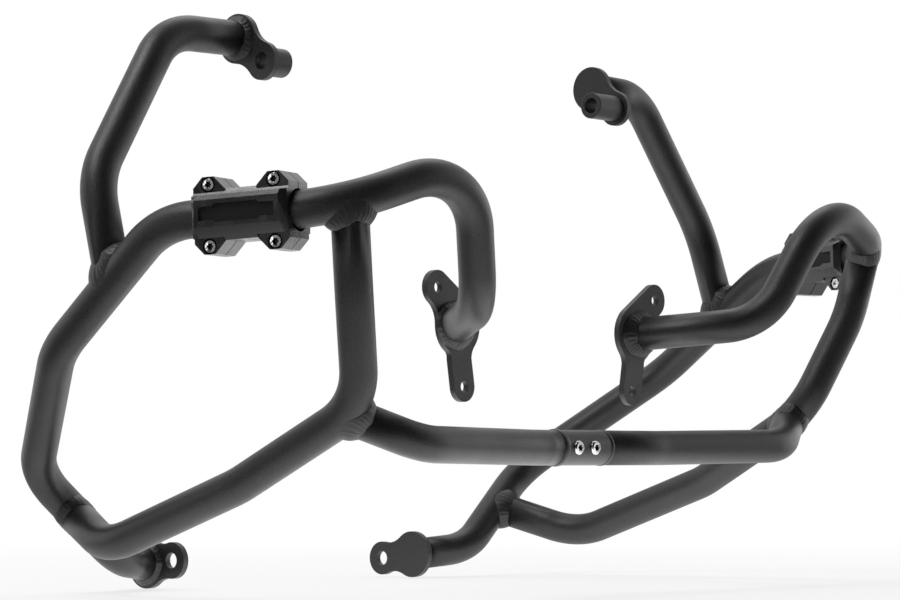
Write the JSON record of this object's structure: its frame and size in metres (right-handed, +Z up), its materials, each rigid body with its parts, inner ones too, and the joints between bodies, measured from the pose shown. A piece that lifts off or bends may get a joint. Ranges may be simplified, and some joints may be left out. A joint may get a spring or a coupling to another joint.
{
  "type": "motorcycle crash bars",
  "caption": "Welded steel tube engine guards for a motorcycle, joined in front by a screwed sleeve, with plates that bolt to the frame and clamped plastic slider blocks.",
  "frame": {"origin": "midway between the two upper bolt holes of the front plates, on the plates' rear face", "axes": "+X to the rider's left, +Y to the rear of the motorcycle, +Z up"},
  "size_m": [0.7658, 0.4516, 0.441],
  "materials": {
    "coated_tube": "fine-grained matte black powder coat",
    "coated_plate": "fine-grained matte black powder coat",
    "coated_weld": "black powder coat over rippled weld beads",
    "block_plastic": "satin black moulded plastic",
    "liner_rubber": "black rubber",
    "screw_steel": "bright zinc-plated screws",
    "nut_steel": "zinc-plated nuts",
    "spigot_steel": "bare turned steel"
  },
  "bodies": {
    "root": {"right_main_tube": "coated_tube", "left_main_tube": "coated_tube", "right_lower_tube": "coated_tube", "left_lower_tube": "coated_tube", "right_cross_tube": "coated_tube", "left_cross_tube": "coated_tube", "right_upper_rear_arm": "coated_tube", "left_upper_rear_arm": "coated_tube", "right_front_plate": "coated_plate", "left_front_plate": "coated_plate", "right_upper_rear_plate": "coated_plate", "left_upper_rear_plate": "coated_plate", "right_spacer": "coated_plate", "left_spacer": "coated_plate", "right_lower_rear_plate": "coated_plate", "left_lower_rear_plate": "coated_plate", "right_lower_front_weld": "coated_weld", "left_lower_front_weld": "coated_weld", "right_lower_rear_weld": "coated_weld", "left_lower_rear_weld": "coated_weld", "right_rear_arm_weld": "coated_weld", "left_rear_arm_weld": "coated_weld", "right_cross_tube_weld": "coated_weld", "left_cross_tube_weld": "coated_weld", "right_plate_welds": "coated_weld", "left_plate_welds": "coated_weld", "coupling_sleeve": "coated_tube", "coupling_spigot": "spigot_steel", "coupling_screws": "screw_steel", "right_slider_front": "block_plastic", "left_slider_front": "block_plastic", "right_slider_back": "block_plastic", "left_slider_back": "block_plastic", "right_slider_liner": "liner_rubber", "left_slider_liner": "liner_rubber", "right_slider_screws": "screw_steel", "left_slider_screws": "screw_steel", "right_slider_nuts": "nut_steel", "left_slider_nuts": "nut_steel"}
  },
  "joints": []
}
